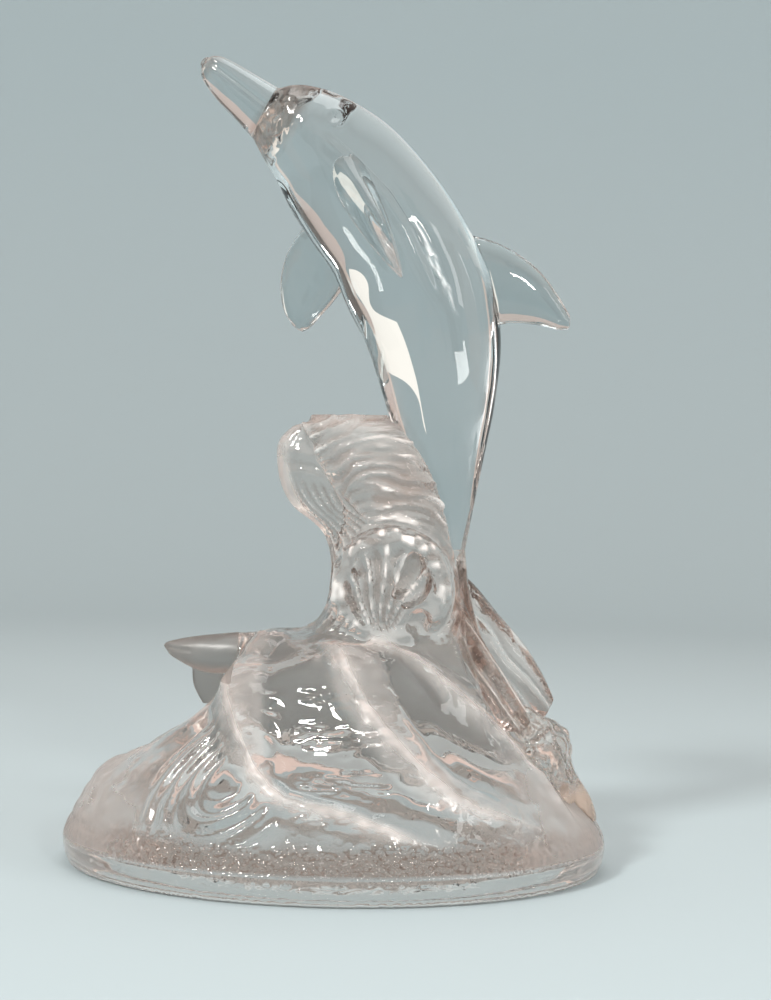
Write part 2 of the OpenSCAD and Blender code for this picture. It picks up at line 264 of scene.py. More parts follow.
LEFT_CREST = [
    (-17, -6, 1.4, 7, 3), (-22, -11, 3.4, 9, 3), (-24, -17, 4.4, 10, 2.8),
    (-22.8, -25, 4.4, 9, 2.6), (-20, -31.5, 4.0, 7, 2.4), (-16.3, -36.9, 3.2, 4.5, 2.2),
    (-12.5, -39.7, 2.4, 2.8, 2), (-9.3, -41.3, 2.1, 2.2, 1.9), (-3.9, -42.6, 2.0, 2.0, 1.9),
    (2.1, -43.5, 1.9, 2.0, 1.9), (8.1, -44, 1.7, 1.9, 1.8), (14, -44.1, 1.4, 1.9, 1.8),
    (20, -43.7, 1.0, 1.8, 1.7), (25, -42.8, 0.4, 1.8, 1.7),
]
# hollows and a swelling in the water: how high, and the middle and the reach along x and along y
MOUNDS = [(-3.0, -7, 8, -33, 7), (-1.8, 27, 9, -27, 4), (2.0, -34, 10, -18, 9)]
RIPPLE_X, RIPPLE_Y, RIPPLE_STEP = -20.5, -35.3, 2.5  # middle and spacing of the ripple rings
CREST_SHARE, CREST_WIDTH = 0.26, 0.8  # the sharp crest on each ridge: part of its height, and width
# each line with the shapes of its left and right flanks (above 1 they bulge, below 1 they are
# hollow) and how pearly the ridge is
RIDGES = [(TOP_CREST, 1.0, 0.8, 0.3), (TONGUE, 2.4, 0.8, 0.38), (LEFT_CREST, 2.0, 0.8, 0.36)]


def swell_height(x, y):
    """Height of the water surface over the plan point, before the ridges; x, y are 2-D arrays."""
    rho = np.sqrt((x / AX) ** 2 + (y / BY) ** 2)
    for _ in range(5):
        shift = SWELL_DX * (1 - np.minimum(rho, 1))
        rho = np.sqrt(((x - shift) / AX) ** 2 + (y / BY) ** 2)
    turn = np.arctan2(y / BY, (x - shift) / AX)
    w = np.cos(turn) ** 2

    def side(rows):
        r = spline_rows(rows, 6)
        return np.interp(rho, r[:, 0], r[:, 1])

    along = np.where(np.cos(turn) < 0, side(LEFT_SIDE), side(RIGHT_SIDE))
    across = np.where(np.sin(turn) < 0, side(FRONT_SIDE), side(BACK_SIDE))
    return along * w + across * (1 - w), rho


def ridge_profile(x, y, line, bulge_left, bulge_right):
    """Height of one ridge, whose flanks each have their own reach, and the gap to its line."""
    pts = np.array(line, float)
    best = np.full(x.shape, 1e9)
    out = np.zeros(x.shape)
    for a, b in zip(pts[:-1], pts[1:]):
        d = b[:2] - a[:2]
        t = np.clip(((x - a[0]) * d[0] + (y - a[1]) * d[1]) / (d @ d), 0, 1)
        px, py = x - a[0] - t * d[0], y - a[1] - t * d[1]
        gap = np.hypot(px, py)
        h, left, right = (a[k] + (b[k] - a[k]) * t for k in (2, 3, 4))
        on_left = d[0] * py - d[1] * px > 0
        far = np.clip(gap / np.where(on_left, left, right), 0, 1)
        bulge = np.where(on_left, bulge_left, bulge_right)
        lift = h * (1 - far**bulge) + CREST_SHARE * h * np.exp(-gap / CREST_WIDTH)
        nearer = gap < best
        out = np.where(nearer, lift, out)
        best = np.where(nearer, gap, best)
    return out, best


def blur(a, times):
    """Softens a 2-D grid."""
    for _ in range(times):
        a = 0.5 * a + 0.25 * (np.roll(a, 1, 0) + np.roll(a, -1, 0))
        a = 0.5 * a + 0.25 * (np.roll(a, 1, 1) + np.roll(a, -1, 1))
    return a


def water_top(x, y):
    """Height of the finished water surface, the oval's measure rho, and how frosted it is."""
    h, rho = swell_height(x, y)
    h = np.where(rho < SHOULDER_RHO, h, SHOULDER_H)
    h = blur(h, 6)
    for high, mid_x, reach_x, mid_y, reach_y in MOUNDS:
        h += high * np.exp(-(((x - mid_x) / reach_x) ** 2 + ((y - mid_y) / reach_y) ** 2))
    inside = smoothstep(0.985, 0.92, rho)
    lift, frost = np.zeros(x.shape), np.zeros(x.shape)
    for line, bulge_left, bulge_right, pearl in RIDGES:
        rise, gap = ridge_profile(x, y, line, bulge_left, bulge_right)
        lift = np.maximum(lift, rise)
        frost = np.maximum(frost, pearl * smoothstep(0.4, 2.2, rise) + 0.75 * np.exp(-gap / 0.5))
    # ripple rings spreading over the left swell
    r = np.hypot((x - RIPPLE_X) / 1.75, y - RIPPLE_Y)
    rings = np.cos(r * 2 * math.pi / RIPPLE_STEP)
    rings = rings * smoothstep(1.5, 3.5, r) * smoothstep(13.5, 8.5, r)
    rings = rings * smoothstep(-9, -15, x) * smoothstep(1.2, 0.2, lift)
    # long furrows down the back and the right flank
    furrows = np.sin(np.arctan2(y, x - 6) * 13 + 0.06 * np.hypot(x, y)) * smoothstep(-4, 8, y)
    h = h + inside * (blur(lift, 1) + 0.95 * rings + 0.8 * furrows)
    top = np.interp(rho, [0.965, 0.976, 0.989, 0.995, 1.0, 1.03], [10, 9.1, 7.8, 6.7, 5.2, -5])
    return np.where(rho < SHOULDER_RHO, np.maximum(h, SHOULDER_H), top), rho, frost


def column_field(rows, x, y, z, power):
    """Signed distance, roughly, to an upright form; a power of 2 makes its sections ellipses."""
    r = spline_rows(rows, 6)
    zz = z.ravel()
    left, right, front, back = (
        np.interp(zz, r[:, 0], r[:, k]).reshape(z.shape) for k in (1, 2, 3, 4)
    )
    a, b = (right - left) / 2, (back - front) / 2
    u = np.abs((x - (left + right) / 2) / a)
    v = np.abs((y - (front + back) / 2) / b)
    f = (u**power + v**power) ** (1 / power)
    return np.maximum((f - 1) * np.minimum(a, b), z - r[-1, 0])


def ellipsoid(x, y, z, centre, radii):
    """Signed distance, roughly, to an ellipsoid."""
    f = np.sqrt(
        ((x - centre[0]) / radii[0]) ** 2
        + ((y - centre[1]) / radii[1]) ** 2
        + ((z - centre[2]) / radii[2]) ** 2
    )
    return (f - 1) * min(radii)


# ---------------------------------------- lofted castings
def ring_points(rows, around, taper):
    """(stations, around, 3) points; taper thins the trailing edge of a fin."""
    n = len(rows)
    mid = (rows[:, 0:3] + rows[:, 3:6]) / 2
    chord = (rows[:, 3:6] - rows[:, 0:3]) / 2
    i = np.arange(n)
    along = mid[np.minimum(i + 1, n - 1)] - mid[np.maximum(i - 1, 0)]
    out = np.cross(chord, along)
    out *= (rows[:, 6] / np.maximum(np.linalg.norm(out, axis=1), 1e-9))[:, None]
    f = np.arange(around) * 2 * math.pi / around
    thick = np.sin(f) * (1 - taper * 0.5 * (1 + np.cos(f)))
    return (
        mid[:, None, :]
        + chord[:, None, :] * np.cos(f)[None, :, None]
        + out[:, None, :] * thick[None, :, None]
    )


def loft(rows, steps=8, around=64, taper=0.0, end_dome=0.0):
    """Closed solid through the stations. Returns points and faces."""
    fine = spline_rows(rows, steps)
    pts = ring_points(fine, around, taper)
    if end_dome:
        # round the last ring off with a few shrinking rings
        mid, last = pts[-1].mean(0), pts[-1]
        step = (pts[-1].mean(0) - pts[-2].mean(0)) / max(
            np.linalg.norm(pts[-1].mean(0) - pts[-2].mean(0)), 1e-9
        )
        caps = [
            mid + (last - mid) * math.cos(k) + step * end_dome * math.sin(k)
            for k in np.linspace(0.25, 1.45, 6)
        ]
        pts = np.concatenate([pts, np.array(caps)])
    n, m = pts.shape[:2]
    a = (np.arange(n - 1)[:, None] * m + np.arange(m)[None, :]).ravel()
    b = (np.arange(n - 1)[:, None] * m + (np.arange(m)[None, :] + 1) % m).ravel()
    quads = np.stack([a, a + m, b + m, b], 1)
    ends = [list(range(m)), [(n - 1) * m + k for k in range(m)][::-1]]
    return pts.reshape(-1, 3), quads, ends


def new_mesh(name, pts, faces, **layers):
    """layers are the named values per point that the glass materials read."""
    me = bpy.data.meshes.new(name)
    me.from_pydata([tuple(p) for p in (np.asarray(pts) * MM).tolist()], [], faces)
    me.update()
    me.polygons.foreach_set("use_smooth", [True] * len(me.polygons))
    for label, values in layers.items():
        layer = me.attributes.new(label, "FLOAT", "POINT")
        layer.data.foreach_set("value", values.astype(np.float32))
    return me


def add(name, me, node, slot_name, *mats):
    ob = bpy.data.objects.new(name, me)
    bpy.context.scene.collection.objects.link(ob)
    for m in mats:
        me.materials.append(m)
    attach(ob, "root")
    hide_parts(node)
    return ob


def level_set(pts, quads, ends, origin, shape):
    """Signed distance (mm) of a closed mesh on the wave's grid."""
    tris = []
    for e in ends:
        tris += [(e[0], e[k], e[k + 1]) for k in range(1, len(e) - 1)]
    p = np.asarray(pts, np.float32) - np.asarray(origin, np.float32)
    quad_tris = np.concatenate([quads[:, [0, 1, 2]], quads[:, [0, 2, 3]]])
    tri = np.concatenate([quad_tris, np.array(tris)]).astype(np.uint32)
    t = vdb.createLinearTransform(VOXEL)
    reach = 4.0  # voxels on each side of the surface
    g = vdb.FloatGrid.createLevelSetFromPolygons(p, triangles=tri, transform=t, halfWidth=reach)
    a = np.full(shape, reach * VOXEL, np.float32)
    g.copyToArray(a, ijk=(0, 0, 0))
    return a


# ---------------------------------------- materials
def material(name):
    m = bpy.data.materials.new(name)
    m.use_nodes = True
    t = m.node_tree
    t.nodes.clear()
    return m, t


def node(t, kind, values=None, **props):
    n = t.nodes.new(kind)
    for k, v in props.items():
        setattr(n, k, v)
    for k, v in (values or {}).items():
        n.inputs[k].default_value = v
    return n


def glass(name, tint, warm_shade_tint, roughness, most=0.5, waves=(), crinkle=None, stipple=None):
    """Crystal whose look follows values on the mesh's points, each 0 where the mesh hasn't got it.

    frost takes the roughness up to most. blush takes the colour to warm_shade_tint and brings out
    the crinkle (scale, distance); blush is painted warm shade, standing in for the brown
    reflections of a dim warm room and for shade in grooves. milk is the share of light that
    scatters white: real milky frost, and painted highlights on crests and on bright lines.
    stipple brings out a pebbled skin (scale, distance, tint).
    waves is a list of (scale, distance, detail) of relief that is there everywhere."""
    m, t = material(name)

    def link(a, b):
        t.links.new(a, b)

    def maths(operation, a, b):
        n = node(t, "ShaderNodeMath", operation=operation)
        for k, value in enumerate((a, b)):
            if isinstance(value, (int, float)):
                n.inputs[k].default_value = value
            else:
                link(value, n.inputs[k])
        return n.outputs[0]

    def reading(label):
        return node(t, "ShaderNodeAttribute", attribute_name=label).outputs["Fac"]

    def texture(kind, values, **props):
        n = node(t, kind, values, **props)
        link(place, n.inputs["Vector"])
        return n

    def bump(height, distance, below, **props):
        n = node(t, "ShaderNodeBump", {"Strength": 1.0, "Distance": distance}, **props)
        link(height, n.inputs["Height"])
        if below:
            link(below, n.inputs["Normal"])
        return n.outputs["Normal"]

    def blend(factor, a, b):
        n = node(t, "ShaderNodeMix", data_type="RGBA")
        link(factor, n.inputs["Factor"])
        for socket, value in ((n.inputs["A"], a), (n.inputs["B"], b)):
            if isinstance(value, tuple):
                socket.default_value = (*value, 1)
            else:
                link(value, socket)
        return n.outputs["Result"]

    out = node(t, "ShaderNodeOutputMaterial")
    p = node(t, "ShaderNodeBsdfPrincipled", {"IOR": 1.52})
    link(p.outputs[0], out.inputs["Surface"])
    place = node(t, "ShaderNodeTexCoord").outputs["Object"]
    drift = texture("ShaderNodeTexNoise", {"Scale": 90.0, "Detail": 4.0}).outputs["Fac"]
    frost, warm_shade, milk_and_highlight = reading("frost"), reading("warm_shade"), reading("milk_and_highlight")
    uneven = {"From Min": 0.3, "From Max": 0.7, "To Min": 0.7, "To Max": 1.2}
    broken = node(t, "ShaderNodeMapRange", uneven)
    link(drift, broken.inputs["Value"])
    broken = broken.outputs["Result"]
    amount = maths("MULTIPLY", frost, broken)
    colour = blend(maths("MULTIPLY", warm_shade, broken), tint, warm_shade_tint)
    base = node(t, "ShaderNodeMapRange", {"From Min": 0.35, "From Max": 0.7})
    base.inputs["To Min"].default_value, base.inputs["To Max"].default_value = roughness
    link(drift, base.inputs["Value"])
    haze = maths("MULTIPLY", maths("POWER", amount, 1.6), most)
    rough = maths("ADD", haze, base.outputs["Result"])
    normal = None
    for scale, distance, detail in waves:
        n = texture("ShaderNodeTexNoise", {"Scale": scale, "Detail": detail})
        normal = bump(n.outputs["Fac"], distance, normal)
    if crinkle:
        scale, distance = crinkle
        n = texture("ShaderNodeTexNoise", {"Scale": scale, "Detail": 2.0, "Distortion": 1.2})
        normal = bump(maths("MULTIPLY", n.outputs["Fac"], warm_shade), distance, normal)
    if stipple:
        scale, distance, stipple_tint = stipple
        skin = reading("stipple")
        n = texture("ShaderNodeTexVoronoi", {"Scale": scale}, feature="SMOOTH_F1")
        pebbles = maths("MULTIPLY", n.outputs["Distance"], skin)
        normal = bump(pebbles, distance, normal, invert=True)
        colour = blend(skin, colour, stipple_tint)
        rough = maths("ADD", rough, maths("MULTIPLY", skin, 0.05))
    clear = maths("SUBTRACT", 1.0, maths("MULTIPLY", milk_and_highlight, broken))
    link(clear, p.inputs["Transmission Weight"])
    link(colour, p.inputs["Base Color"])
    link(rough, p.inputs["Roughness"])
    link(normal, p.inputs["Normal"])
    return m


def bond_material():
    """The joint inside the casting: light passes straight on, as in one block of glass."""
    m, t = material("bonded_joint")
    out = node(t, "ShaderNodeOutputMaterial")
    clear = node(t, "ShaderNodeBsdfTransparent", {"Color": (1, 1, 1, 1)})
    t.links.new(clear.outputs[0], out.inputs["Surface"])
    return m


# the second colour here, and the second colour of each glass below, is painted warm shade, standing
# in for the brown reflections of a dim warm room and for shade in grooves
CLEAN, WARM_SHADE = (0.975, 0.93, 0.90), (0.56, 0.43, 0.375)
POLISHED, STILL = (0.0, 0.012), [(60.0, 0.00005, 1.0)]  # roughness and relief of smooth glass
# the grey tints of clear_crystal and fin_crystal are painted shade, for the darker view through the
# body and the fins
CLEAR = glass("clear_crystal", (0.785, 0.825, 0.83), (0.50, 0.41, 0.36), POLISHED, 0.2, STILL)
FIN = glass("fin_crystal", (0.695, 0.745, 0.75), WARM_SHADE, POLISHED, waves=STILL)
WATER = glass(
    "water_crystal",
    CLEAN,
    WARM_SHADE,
    (0.0, 0.03),
    waves=[(150.0, 0.00008, 2.0)],
    crinkle=(330.0, 0.0005),
    stipple=(800.0, 0.0009, (0.52, 0.35, 0.285)),
)
# dusky_crystal's grey-brown is the small head's satin tone; on the small fin it is painted shade,
# for the darker view through that fin
DUSK = glass("dusky_crystal", (0.54, 0.49, 0.46), WARM_SHADE, (0.33, 0.5), waves=[(160.0, 0.0002, 3.0)])
FOAM = glass(
    "foam_crystal",
    (0.95, 0.91, 0.885),
    (0.90, 0.74, 0.62),
    (0.0, 0.08),
    waves=[(200.0, 0.0002, 2.0)],
    crinkle=(400.0, 0.0004),
)
BOND = bond_material()


# ---------------------------------------- the dolphin
def crease(t, sharp=1.0):
    """A train of rounded ribs with narrow grooves, one per unit of t, between -1 and 1."""
    return 1 - 2 * np.abs(np.sin(t * math.pi)) ** sharp


def along_line(x, z, line):
    """Signed distance to a polyline in the side view, and how far along it the nearest point is."""
    best, signed, run = np.full(len(x), 99.0), np.zeros(len(x)), np.zeros(len(x))
    line = np.array(line, float)
    for k, (a, b) in enumerate(zip(line[:-1], line[1:])):
        v = b - a
        t = np.clip(((x - a[0]) * v[0] + (z - a[1]) * v[1]) / (v @ v), 0, 1)
        px, pz = x - a[0] - t * v[0], z - a[1] - t * v[1]
        gap = np.hypot(px, pz)
        closer = gap < best
        signed = np.where(closer, np.sign(v[0] * pz - v[1] * px) * gap, signed)
        run = np.where(closer, (k + t) / (len(line) - 1), run)
        best = np.where(closer, gap, best)
    return signed, run


# middles of the eye, of the collar where the beak meets the melon, of the mouth, of the flukes
EYE_X, EYE_Z = -3.6, 162.2
COLLAR_X, COLLAR_Z = -19, 164.5
MOUTH_X, MOUTH_Z = -24.5, 169.6
TAIL_X, TAIL_Z = 24, 64
# lines on the flank, in the side view
CREASE = [(-7, 160), (0, 153.5), (8, 145.5), (13, 138), (17, 130), (21, 121)]
PAINTED_GLINT_LINES = [
    [
        (16.0, 137.5), (17.2, 134.6), (18.9, 132.2), (20.0, 128.4), (22.0, 125.6), (22.9, 121.8),
        (24.6, 118.8),
    ],
    [(13.6, 140.6), (16.6, 136.0), (18.0, 131.0), (20.6, 127.4), (21.6, 122.8)],
]


def body_details(pts):
    """Eye dimples, folds in the snout's collar with painted warm shade, the crease on the flank,
    and shallow grooves on the flank, made milky white as a painted reflection.
    """
    x, y, z = pts[:, 0], pts[:, 1], pts[:, 2]
    side = np.sign(y)
    d = np.hypot(x - EYE_X, z - EYE_Z)
    push = -0.55 * hump(d, 1.1) + 0.16 * hump(d - 1.8, 0.6)  # the dimple and the ring round it
    # folds of the collar, frosted, with painted warm shade
    along = (x - COLLAR_X) * 0.78 - (z - COLLAR_Z) * 0.62
    band = smoothstep(9.0, 5.5, along + 0.12 * (z - 160) + 1.5 * noise(pts, 5.0, 6))
    band = band * smoothstep(-1.0, 1.0, along)
    folds = noise(pts * [1.0, 0.6, 1.0], 3.4, 3) * 1.15 + noise(pts, 1.6, 4) * 0.4
    push += band * folds * smoothstep(0.4, 2.2, np.abs(y))
    # flank crease from the collar to below the back fin
    signed, run = along_line(x, z, CREASE)
    fade = smoothstep(0.0, 0.12, run) * smoothstep(1.0, 0.8, run)
    push += 0.42 * fade * np.tanh(-signed / 0.45) * hump(signed, 4.5)
    # shallow grooves along lines painted milky white, a painted reflection of bright inner lines
    painted_glint = np.zeros(len(pts))
    for line in PAINTED_GLINT_LINES:
        signed, run = along_line(x, z, line)
        mark = hump(signed, 0.28) * smoothstep(0, 0.15, run) * smoothstep(1, 0.7, run)
        painted_glint = np.maximum(painted_glint, mark * (y < 0))
    push -= 0.2 * painted_glint
    moved = pts.copy()
    moved[:, 1] += side * push * smoothstep(0.2, 2.5, np.abs(y))
    return moved, {"frost": band * 0.9, "warm_shade": band * 0.9, "milk_and_highlight": 0.8 * painted_glint}


def beak_details(pts):
    """The mouth line along each side of the beak, and a slightly worn tip."""
    x, y, z = pts[:, 0], pts[:, 1], pts[:, 2]
    across = (x - MOUTH_X) * 0.60 + (z - MOUTH_Z) * 0.80
    along = -(x - MOUTH_X) * 0.80 + (z - MOUTH_Z) * 0.60
    groove = hump(across - 0.4, 0.42) * smoothstep(9.5, 7.5, along)
    moved = pts.copy()
    moved[:, 1] -= np.sign(y) * 0.55 * groove * smoothstep(0.3, 1.5, np.abs(y))
    worn = smoothstep(6.0, 9.0, along)
    moved[:, 2] += noise(pts, 1.2, 5) * 0.22 * worn
    root = smoothstep(-6.0, -8.0, along)
    # frosted at the root and at the worn tip, which also get painted warm shade
    skin = np.maximum(0.5 * worn, 0.6 * root)
    return moved, {"frost": skin, "warm_shade": skin}


def stock_details(pts):
    """The stock's lower part gets the wave's painted warm shade, darker where its spots are low,
    and painted highlights, milky white, where they are high.
    """
    wet = smoothstep(69, 64, pts[:, 2])
    spots = noise(pts * [1.6, 1.0, 0.5], 2.2, 33)
    moved = pts.copy()
    moved[:, 1] += 0.35 * wet * spots
    milk_and_highlight = 0.55 * wet * smoothstep(0.1, 0.7, spots)
    return moved, {"warm_shade": wet * (0.4 - 0.4 * spots), "milk_and_highlight": milk_and_highlight}


def fluke_details(pts):
    """Long folds that run along the flukes, with painted shade in their grooves and painted
    highlights, milky white, on their crests.
    """
    x, z = pts[:, 0], pts[:, 2]
    across = (x - TAIL_X) * 0.80 + (z - TAIL_Z) * 0.60
    folds = crease(across / 3.6 + 0.35 * noise(pts, 9.0, 31), 0.7) * 0.5
    moved = pts.copy()
    moved[:, 1] += folds * smoothstep(67.0, 60.0, z)
    warm_shade = smoothstep(0.1, -0.45, folds) * (0.6 + 0.4 * noise(pts, 6.0, 32))
    return moved, {"warm_shade": warm_shade, "milk_and_highlight": 0.5 * smoothstep(0.15, 0.5, folds)}


def casting(
    name, rows, node_name, slot_name, mat, detail=None, steps=12, around=96, taper=0.0, dome=0.0,
    off=0.0,
):
    """A lofted piece: its object, and its form with the details.

    off pulls the first ring back by a hairline, so that two castings don't share a face."""
    pts, quads, ends = loft(rows, steps, around, taper, dome)
    if off:
        first, second = pts[:around], pts[around : 2 * around]
        step = second.mean(0) - first.mean(0)
        pts[:around] = first + step * off / np.linalg.norm(step)
    pts, layers = detail(pts) if detail else (pts, {})
    me = new_mesh(name, pts, quads.tolist() + ends, **layers)
    return add(name, me, node_name, slot_name, mat), (pts, quads, ends)


def carve(ob, cutters):
    """Takes the cutters' volume out of the casting, exactly."""
    for c in cutters:
        swollen = c.data.copy()
        n = len(swollen.vertices)
        co, no = np.empty(n * 3, np.float32), np.empty(n * 3, np.float32)
        swollen.vertices.foreach_get("co", co)
        swollen.vertices.foreach_get("normal", no)
        swollen.vertices.foreach_set("co", co + no * GAP * 0.5 * MM)
        tool = bpy.data.objects.new("tool", swollen)
        bpy.context.scene.collection.objects.link(tool)
        mod = ob.modifiers.new("carve", "BOOLEAN")
        mod.operation, mod.solver, mod.object = "DIFFERENCE", "EXACT", tool
        bpy.context.view_layer.update()
        dg = bpy.context.evaluated_depsgraph_get()
        me = bpy.data.meshes.new_from_object(ob.evaluated_get(dg), depsgraph=dg)
        ob.modifiers.clear()
        old, ob.data = ob.data, me
        bpy.data.meshes.remove(old)
        bpy.data.objects.remove(tool)
        bpy.data.meshes.remove(swollen)


body, body_shape = casting(
    "leaping_body", BODY, "dolphin_body", "clear_crystal", CLEAR, body_details, steps=26, around=192
)
casting(
    "beak", BEAK, "dolphin_beak", "clear_crystal", CLEAR, beak_details, steps=16, around=128,
    dome=0.7, off=GAP / 2,
)
dorsal, _ = casting(
    "back_fin", DORSAL, "dorsal_fin", "clear_crystal", FIN, taper=-0.25, dome=0.5
)
far_fin, _ = casting("far_side_fin", FAR_FIN, "pectoral_far", "clear_crystal", FIN, dome=0.5)
near_fin, _ = casting(
    "near_side_fin", NEAR_FIN, "pectoral_near", "clear_crystal", CLEAR, taper=0.7, dome=0.5
)
for fin in (dorsal, far_fin, near_fin):
    carve(fin, [body])
stock, stock_shape = casting(
    "tail_stock_glass", STOCK, "tail_stock", "frosted_crystal", WATER, stock_details, around=64,
    off=GAP / 2,
)
fluke_b, fluke_b_shape = casting(
    "back_fluke", FLUKE_BACK, "fluke_back", "clear_crystal", WATER, fluke_details, dome=0.4
)
fluke_f, fluke_f_shape = casting(
    "front_fluke", FLUKE_FRONT, "fluke_front", "clear_crystal", WATER, fluke_details, dome=0.4
)
carve(fluke_b, [stock])
carve(fluke_f, [stock, fluke_b])


# ---------------------------------------- foam lumps
# centre and radius of each
LUMPS = [
    (45.5, -7, 26, 5.2), (48.4, -6, 20.5, 4.6), (46.2, -1, 28.0, 5.0), (51.2, -4, 14.6, 4.8),
    (43.4, -12, 23, 4.2), (41, -6, 31.0, 5.0), (47.6, 5, 22.5, 5.4), (42, -15, 19, 3.6),
    (53.0, -5, 10.6, 4.2), (47, -11, 15.5, 4.2),
]


# ---------------------------------------- the wave, one continuous casting
CURL_X, CURL_Z = 11.4, 60.6  # middle of the curl
FAN_X, FAN_Z = 9.4, 47.5  # where its ribs spring from
# centres and radii of the two hollows in the face of the curl
HOLLOWS = [((15.8, -22.0, 63.6), (3.0, 5.6, 5.8)), ((18.2, -20.5, 52.4), (3.0, 6.4, 3.6))]


def grid_axes():
    """Lowest corner of the grid round the wave, its counts, and its three axes."""
    lo, hi = np.array([-62.0, -51.0, -2.0]), np.array([62.0, 51.0, 101.0])
    n = np.ceil((hi - lo) / VOXEL).astype(int) + 1
    return lo, n, [lo[k] + np.arange(n[k]) * VOXEL for k in range(3)]


def wave_fields():
    """The grid's corner, distance fields of the wave and the foam, and the frost on the swell."""
    origin, n, (gx, gy, gz) = grid_axes()
    x2, y2 = gx[:, None], gy[None, :]
    top, rho, frost = water_top(x2 + 0 * y2, y2 + 0 * x2)
    # a height over the surface becomes a distance from it, on slopes of up to 3
    slope = np.gradient(top, VOXEL)
    scale = 1 / np.sqrt(1 + np.clip(slope[0] ** 2 + slope[1] ** 2, 0, 9))
    x, y, z = gx[:, None, None], gy[None, :, None], gz[None, None, :]
    swell = ((z - top[:, :, None]) * scale[:, :, None]).astype(np.float32)
    profile = np.array(FOOT_PROFILE)
    limit = np.where(gz < 5.2, np.interp(gz, profile[:, 0], profile[:, 1]), 1.02)
    radius = (np.hypot(x2, y2) / np.maximum(rho, 1e-3))[:, :, None]
    swell = np.maximum(swell, (rho[:, :, None] - limit[None, None, :]) * radius)
    # smin's last value is the fillet between two forms
    column = column_field(COLUMN, x, y, z, 3.0)
    lip = column_field(LIP, x, y, z, 2.0)
    column = smin(column, lip, 1.6)
    curl = ellipsoid(x, y, z, (CURL_X, -11.8, CURL_Z), (13.2, 9.8, 14.2))
    column = smin(column, curl, 0.8)
    for hollow in HOLLOWS:
        column = -smin(-column, ellipsoid(x, y, z, *hollow), 0.8)
    head_pts = loft(HEAD, 8, 48, 0.0, 0.3)
    head = level_set(*head_pts, origin, tuple(n))
    wave = smin(swell, column, 2.4)
    wave = smin(wave, head, 1.2)
    foam = None
    for cx, cy, cz, r in LUMPS:
        ball = ellipsoid(x, y, z, (cx, cy, cz), (r, r * 1.15, r * 0.95))
        foam = ball if foam is None else smin(foam, ball, 3.0)
    # the dolphin's castings stand a hairline clear of the wave, and the foam of both
    for shape in (body_shape, stock_shape, fluke_b_shape, fluke_f_shape):
        solid = level_set(*shape, origin, tuple(n))
        wave = np.maximum(wave, GAP - solid)
        foam = np.maximum(foam, GAP - solid)
    foam = np.maximum(foam, GAP - wave)
    wave = np.maximum(wave, -z)
    return origin, wave.astype(np.float32), foam.astype(np.float32), frost


def mesh_of(field, origin):
    """Points and quads of the surface where a distance field is 0."""
    g = vdb.FloatGrid(3 * VOXEL)
    g.copyFromArray(np.clip(field, -3 * VOXEL, 3 * VOXEL))
    g.transform = vdb.createLinearTransform(VOXEL)
    g.gridClass = "level set"
    pts, quads = g.convertToQuads(0.0)
    return pts.astype(np.float64) + origin, quads[:, ::-1].astype(np.int64)


def neighbours(quads, n):
    """Pairs of joined points, each both ways round, and how many each point is in."""
    e = np.concatenate([quads[:, [0, 1]], quads[:, [1, 2]], quads[:, [2, 3]], quads[:, [3, 0]]])
    e = np.concatenate([e, e[:, ::-1]])
    return e, np.bincount(e[:, 0], minlength=n)


def relax(pts, quads, rounds):
    """Moves each point halfway to the mean of its neighbours, a few times over."""
    e, count = neighbours(quads, len(pts))
    for _ in range(rounds):
        mean = np.stack([np.bincount(e[:, 0], pts[e[:, 1], k], len(pts)) for k in range(3)], 1)
        pts = pts + 0.5 * (mean / np.maximum(count, 1)[:, None] - pts)
    return pts


def normals(pts, quads):
    """Unit normals at the points."""
    a, b = pts[quads[:, 2]] - pts[quads[:, 0]], pts[quads[:, 3]] - pts[quads[:, 1]]
    f = np.cross(a, b)
    n = np.zeros_like(pts)
    for k in range(4):
        for c in range(3):
            n[:, c] += np.bincount(quads[:, k], f[:, c], len(pts))
    return n / np.maximum(np.linalg.norm(n, axis=1), 1e-9)[:, None]


def largest_island(pts, quads):
    """Drops crumbs that a cut left behind."""
    e = np.concatenate([quads[:, [0, 1]], quads[:, [1, 2]], quads[:, [2, 3]]])
    label = np.arange(len(pts))
    while True:
        low = np.minimum(label[e[:, 0]], label[e[:, 1]])
        new = label.copy()
        np.minimum.at(new, e[:, 0], low)
        np.minimum.at(new, e[:, 1], low)
        new = new[new]
        if (new == label).all():
            break
        label = new
    keep = label == np.bincount(label).argmax()
    index = np.cumsum(keep) - 1
    return pts[keep], index[quads[keep[quads[:, 0]]]]


# the corner between the lip's hollow left face and the column's front, and round the curl: level, x
CORNER = np.array([
    (50, 5.5), (52, 5.0), (57, 0.8), (62.4, -1.1), (68, 0.8), (72, 3.2), (75, 6.0), (80, 0.8),
    (84.3, -2.6), (87.7, -4.8), (93.4, -7.0), (97, -9.0),
])
# level and height of the sparkling bands across the hollow below the column
SPARKLES = ((39.0, 1.6), (31.0, 2.2), (22.5, 1.7), (16.2, 1.2), (47.5, 2.5))


def sample(grid, places):
    """Values of a 2-D grid between its points, which places (n, 2) count from 0."""
    low = np.clip(np.floor(places).astype(int), 0, np.array(grid.shape) - 2)
    (i, j), (u, v) = low.T, np.clip(places - low, 0, 1).T
    near = grid[i, j] * (1 - v) + grid[i, j + 1] * v
    return near * (1 - u) + (grid[i + 1, j] * (1 - v) + grid[i + 1, j + 1] * v) * u


